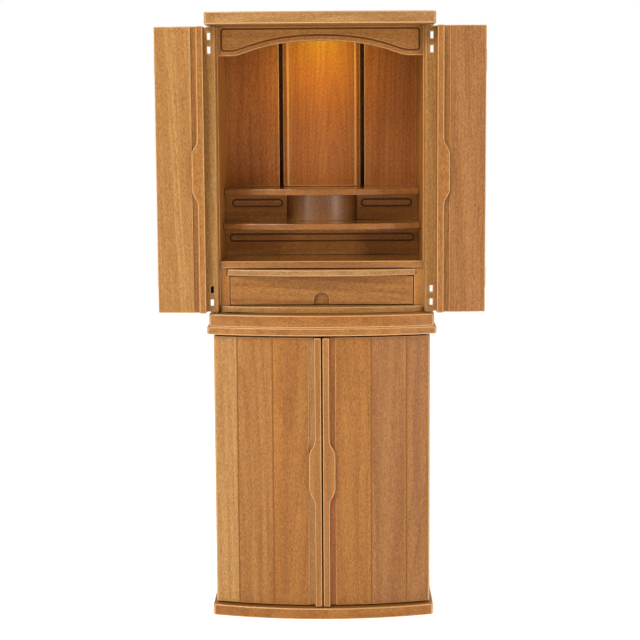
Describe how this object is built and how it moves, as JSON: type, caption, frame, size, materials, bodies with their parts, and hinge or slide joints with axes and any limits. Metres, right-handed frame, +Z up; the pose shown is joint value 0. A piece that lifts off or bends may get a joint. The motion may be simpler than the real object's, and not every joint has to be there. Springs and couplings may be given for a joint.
{
  "type": "household altar cabinet",
  "caption": "Household altar cabinet in satin wood: folding doors, an altar room with bowed shelves and a drawer, on a bow-fronted cupboard.",
  "frame": {"origin": "on the floor, at the middle of the bounding box as modelled, with the altar doors folded open", "axes": "+Z up, the front with its doors faces -Y, +X to the right as seen from the front"},
  "size_m": [0.684, 0.344, 1.266],
  "materials": {
    "brown_wood": "honey-brown open-pored hardwood under a satin lacquer",
    "pale_wood": "paler hardwood of the drawer box and the pull-out board, satin",
    "back_panel_wood": "red-brown straight-grained veneer, satin, in the lamp's warm light",
    "brass": "dull bronzed brass hinges and pins"
  },
  "bodies": {
    "cabinet": {"plinth_board": "brown_wood", "waist_board": "brown_wood", "altar_base_board": "brown_wood", "crown_board": "brown_wood", "lower_side_left": "brown_wood", "lower_side_right": "brown_wood", "lower_rear_board": "brown_wood", "altar_side_left": "brown_wood", "altar_side_right": "brown_wood", "altar_rear_board": "brown_wood", "kick_rail": "brown_wood", "drawer_cheek_left": "brown_wood", "drawer_cheek_right": "brown_wood", "drawer_runner_left": "brown_wood", "drawer_runner_right": "brown_wood", "altar_floor_board": "brown_wood", "lower_riser": "brown_wood", "middle_shelf": "brown_wood", "upper_riser_left": "brown_wood", "upper_riser_right": "brown_wood", "shelf_drum": "brown_wood", "upper_shelf": "brown_wood", "back_panel_left": "back_panel_wood", "back_panel_right": "back_panel_wood", "back_panel_centre": "back_panel_wood", "valance": "brown_wood"},
    "drawer": {"drawer_front": "brown_wood", "drawer_side_left": "pale_wood", "drawer_side_right": "pale_wood", "drawer_back": "pale_wood", "drawer_bottom": "pale_wood"},
    "pull_out": {"pull_out_board": "pale_wood"},
    "left_outer": {"left_outer_leaf": "brown_wood", "left_outer_pin_top": "brass", "left_outer_pin_foot": "brass", "left_fold_hinge_top_outer": "brass", "left_fold_hinge_foot_outer": "brass"},
    "left_inner": {"left_inner_leaf": "brown_wood", "left_inner_stile": "brown_wood", "left_fold_hinge_top_inner": "brass", "left_fold_hinge_foot_inner": "brass"},
    "right_outer": {"right_outer_leaf": "brown_wood", "right_outer_pin_top": "brass", "right_outer_pin_foot": "brass", "right_fold_hinge_top_outer": "brass", "right_fold_hinge_foot_outer": "brass"},
    "right_inner": {"right_inner_leaf": "brown_wood", "right_inner_stile": "brown_wood", "right_fold_hinge_top_inner": "brass", "right_fold_hinge_foot_inner": "brass"},
    "lower_left": {"lower_door_left": "brown_wood", "lower_stile_left": "brown_wood", "lower_pin_top_left": "brass", "lower_pin_foot_left": "brass"},
    "lower_right": {"lower_door_right": "brown_wood", "lower_stile_right": "brown_wood", "lower_pin_top_right": "brass", "lower_pin_foot_right": "brass"}
  },
  "joints": [
    {"name": "left_door_swing", "type": "hinge", "parent": "cabinet", "child": "left_outer", "pos_m": [-0.221, -0.116, 0.9445], "axis": [0, 0, -1], "range_deg": [-173.2, 0]},
    {"name": "left_door_fold", "type": "hinge", "parent": "left_outer", "child": "left_inner", "pos_m": [-0.33976, -0.11666, 0.9445], "axis": [0, 0, -1], "range_deg": [0, 173.2]},
    {"name": "right_door_swing", "type": "hinge", "parent": "cabinet", "child": "right_outer", "pos_m": [0.221, -0.116, 0.9445], "axis": [0, 0, 1], "range_deg": [-173.2, 0]},
    {"name": "right_door_fold", "type": "hinge", "parent": "right_outer", "child": "right_inner", "pos_m": [0.33976, -0.11666, 0.9445], "axis": [0, 0, 1], "range_deg": [0, 173.2]},
    {"name": "lower_left_door", "type": "hinge", "parent": "cabinet", "child": "lower_left", "pos_m": [-0.221, -0.116, 0.3138], "axis": [0, 0, -1], "range_deg": [0, 110]},
    {"name": "lower_right_door", "type": "hinge", "parent": "cabinet", "child": "lower_right", "pos_m": [0.221, -0.116, 0.3138], "axis": [0, 0, 1], "range_deg": [0, 110]},
    {"name": "drawer_slide", "type": "slide", "parent": "cabinet", "child": "drawer", "axis": [0, -1, 0], "range_m": [0, 0.15]},
    {"name": "pull_out_slide", "type": "slide", "parent": "cabinet", "child": "pull_out", "axis": [0, -1, 0], "range_m": [0, 0.16]}
  ],
  "couplings": [
    {"joint": "left_door_fold", "follows": "left_door_swing", "ratio": -1},
    {"joint": "right_door_fold", "follows": "right_door_swing", "ratio": -1}
  ]
}
